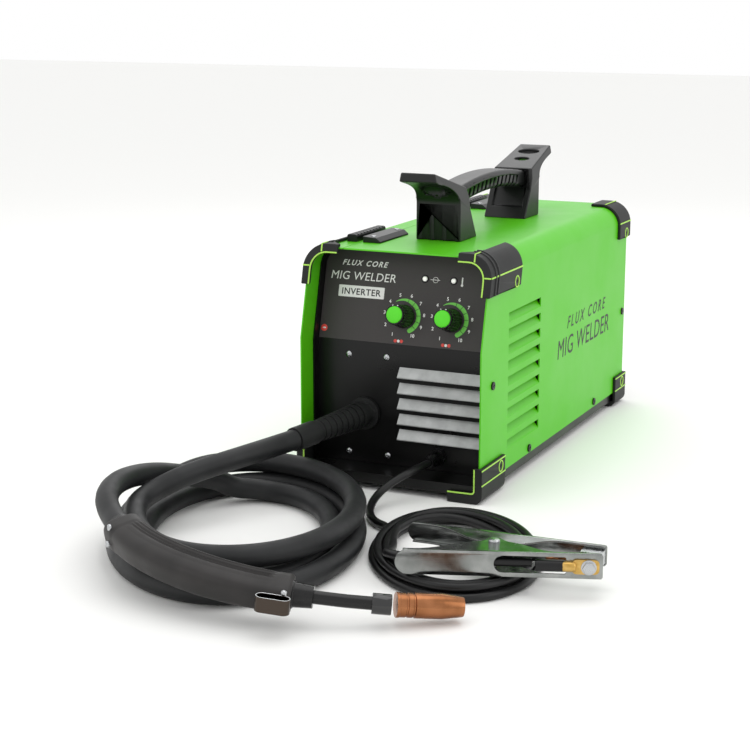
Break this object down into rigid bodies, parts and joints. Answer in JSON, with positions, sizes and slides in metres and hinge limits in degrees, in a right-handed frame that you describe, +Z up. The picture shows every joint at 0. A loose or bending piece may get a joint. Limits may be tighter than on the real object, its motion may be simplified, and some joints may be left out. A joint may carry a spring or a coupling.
{
  "type": "mig welding machine",
  "caption": "Sheet-metal MIG welding machine with horned carry handle, hinged wire-bay door, wire feeder, bowed gun on a coiled hose and spring ground clamp on its cable.",
  "frame": {"origin": "on the floor under the centre of the case", "axes": "+X to the case's right side, seen from the front as the right-hand side; +Y from front to back, so the front faces -Y; +Z up"},
  "size_m": [0.4904, 0.8937, 0.3205],
  "materials": {
    "green_paint": "satin powder coat",
    "black_paint": "satin powder coat",
    "zinc_plate": "zinc plated",
    "label_film": "matt printed film",
    "bumper_rubber": "matt moulded rubber",
    "plated_screw": "nickel plated",
    "handle_plastic": "fine grain",
    "latch_plastic": "fine grain",
    "knob_plastic": "soft-touch",
    "knob_cap": "satin green cap",
    "pot_metal": "plated",
    "lamp_lens": "clear moulded lens",
    "switch_plastic": "moulded",
    "fan_plastic": "moulded",
    "rocker_plastic": "gloss moulded",
    "spool_plastic": "gloss moulded",
    "weld_wire": "level-wound wire",
    "spindle_nylon": "glass-filled nylon",
    "feeder_aluminium": "cast",
    "roll_steel": "turned",
    "motor_case": "painted",
    "board_laminate": "solder mask",
    "transformer_core": "varnished laminations",
    "boot_rubber": "moulded rubber",
    "hose_rubber": "matt rubber",
    "gun_plastic": "fine grain",
    "trigger_steel": "bright",
    "neck_paint": "satin black",
    "insulator_plastic": "gloss black",
    "nozzle_copper": "satin copper",
    "cable_rubber": "satin PVC",
    "clamp_steel": "bright zinc plated",
    "lug_brass": "stamped"
  },
  "bodies": {
    "case": {"cover": "green_paint", "base_tray": "black_paint", "front_panel": "black_paint", "rear_panel": "black_paint", "divider_panel": "zinc_plate", "hinge_pins": "zinc_plate", "control_label": "label_film", "bumpers_top_right": "bumper_rubber", "bumpers_bottom_right": "bumper_rubber", "bumpers_bottom_left": "bumper_rubber", "case_screws": "plated_screw", "handle_front_post": "handle_plastic", "handle_rear_post": "handle_plastic", "handle_grip": "handle_plastic", "latch_keepers": "latch_plastic", "potentiometers": "pot_metal", "indicator_lamps": "lamp_lens", "switch_housing": "switch_plastic", "power_inlet_gland": "switch_plastic", "fan_frame": "switch_plastic", "spool_spindle": "spindle_nylon", "feed_plate": "feeder_aluminium", "heatsink": "feeder_aluminium", "feed_motor": "motor_case", "circuit_board": "board_laminate", "transformer": "transformer_core", "hose_boot": "boot_rubber", "cable_gland": "boot_rubber", "gun_hose": "hose_rubber", "gun_hose_coil": "hose_rubber", "gun_handle": "gun_plastic", "gun_neck": "neck_paint", "gun_insulator": "insulator_plastic", "gun_nozzle": "nozzle_copper", "contact_tip": "nozzle_copper", "ground_cable": "cable_rubber", "ground_cable_coil": "cable_rubber", "clamp_fixed_arm": "clamp_steel", "clamp_spring": "clamp_steel", "clamp_lug": "lug_brass"},
    "door": {"side_door": "green_paint", "bumpers_top_left": "bumper_rubber", "door_screws": "plated_screw"},
    "latch_front": {"latch_slider_front": "latch_plastic"},
    "latch_rear": {"latch_slider_rear": "latch_plastic"},
    "voltage_dial": {"voltage_knob": "knob_plastic", "voltage_knob_cap": "knob_cap"},
    "wire_speed_dial": {"wire_speed_knob": "knob_plastic", "wire_speed_knob_cap": "knob_cap"},
    "rocker": {"power_rocker": "rocker_plastic"},
    "fan": {"fan_rotor": "fan_plastic"},
    "spool": {"wire_spool": "spool_plastic", "wire_winding": "weld_wire"},
    "spool_nut": {"spool_nut": "spindle_nylon"},
    "drive_roll": {"drive_roll": "roll_steel"},
    "pressure_arm": {"pressure_arm": "spindle_nylon"},
    "pressure_roll": {"pressure_roll": "roll_steel"},
    "tension_knob": {"tension_knob": "spindle_nylon"},
    "trigger": {"gun_trigger": "trigger_steel"},
    "clamp_arm": {"clamp_moving_arm": "clamp_steel"}
  },
  "joints": [
    {"name": "door_hinge", "type": "hinge", "parent": "case", "child": "door", "pos_m": [-0.1016, 0, 0.013], "axis": [0, -1, 0], "range_deg": [0, 90]},
    {"name": "latch_front_slide", "type": "slide", "parent": "door", "child": "latch_front", "axis": [1, 0, 0], "range_m": [0, 0.006]},
    {"name": "latch_rear_slide", "type": "slide", "parent": "door", "child": "latch_rear", "axis": [1, 0, 0], "range_m": [0, 0.006]},
    {"name": "voltage_turn", "type": "hinge", "parent": "case", "child": "voltage_dial", "pos_m": [-0.0023, -0.19697, 0.17513], "axis": [0, -0.9701, 0.2425], "range_deg": [-135, 135]},
    {"name": "wire_speed_turn", "type": "hinge", "parent": "case", "child": "wire_speed_dial", "pos_m": [0.0503, -0.19697, 0.17513], "axis": [0, -0.9701, 0.2425], "range_deg": [-135, 135]},
    {"name": "rocker_tilt", "type": "hinge", "parent": "case", "child": "rocker", "pos_m": [-0.045, 0.2245, 0.19], "axis": [1, 0, 0], "range_deg": [-8, 8]},
    {"name": "fan_spin", "type": "hinge", "parent": "case", "child": "fan", "pos_m": [0.042, 0.22, 0.128], "axis": [0, 1, 0], "continuous": true},
    {"name": "spool_spin", "type": "hinge", "parent": "case", "child": "spool", "pos_m": [-0.054, 0.108, 0.116], "axis": [1, 0, 0], "continuous": true},
    {"name": "spool_nut_turn", "type": "hinge", "parent": "case", "child": "spool_nut", "pos_m": [-0.085, 0.108, 0.116], "axis": [1, 0, 0], "continuous": true},
    {"name": "drive_spin", "type": "hinge", "parent": "case", "child": "drive_roll", "pos_m": [-0.037, -0.135, 0.108], "axis": [1, 0, 0], "continuous": true},
    {"name": "pressure_lift", "type": "hinge", "parent": "case", "child": "pressure_arm", "pos_m": [-0.037, -0.102, 0.14], "axis": [-1, 0, 0], "range_deg": [0, 60]},
    {"name": "pressure_spin", "type": "hinge", "parent": "pressure_arm", "child": "pressure_roll", "pos_m": [-0.037, -0.135, 0.1324], "axis": [1, 0, 0], "continuous": true},
    {"name": "tension_turn", "type": "hinge", "parent": "pressure_arm", "child": "tension_knob", "pos_m": [-0.037, -0.163, 0.1324], "axis": [0, 0, 1], "continuous": true},
    {"name": "trigger_pull", "type": "hinge", "parent": "case", "child": "trigger", "pos_m": [0.08502, -0.63234, 0.02719], "axis": [-0.1064, -0.0179, -0.9942], "range_deg": [0, 5.5], "stiffness_Nm_per_rad": 0.4},
    {"name": "clamp_squeeze", "type": "hinge", "parent": "case", "child": "clamp_arm", "pos_m": [0.1953, -0.4483, 0.028], "axis": [0, 0, 1], "range_deg": [0, 18], "stiffness_Nm_per_rad": 4}
  ],
  "couplings": [
    {"joint": "pressure_spin", "follows": "drive_spin", "ratio": -1}
  ]
}
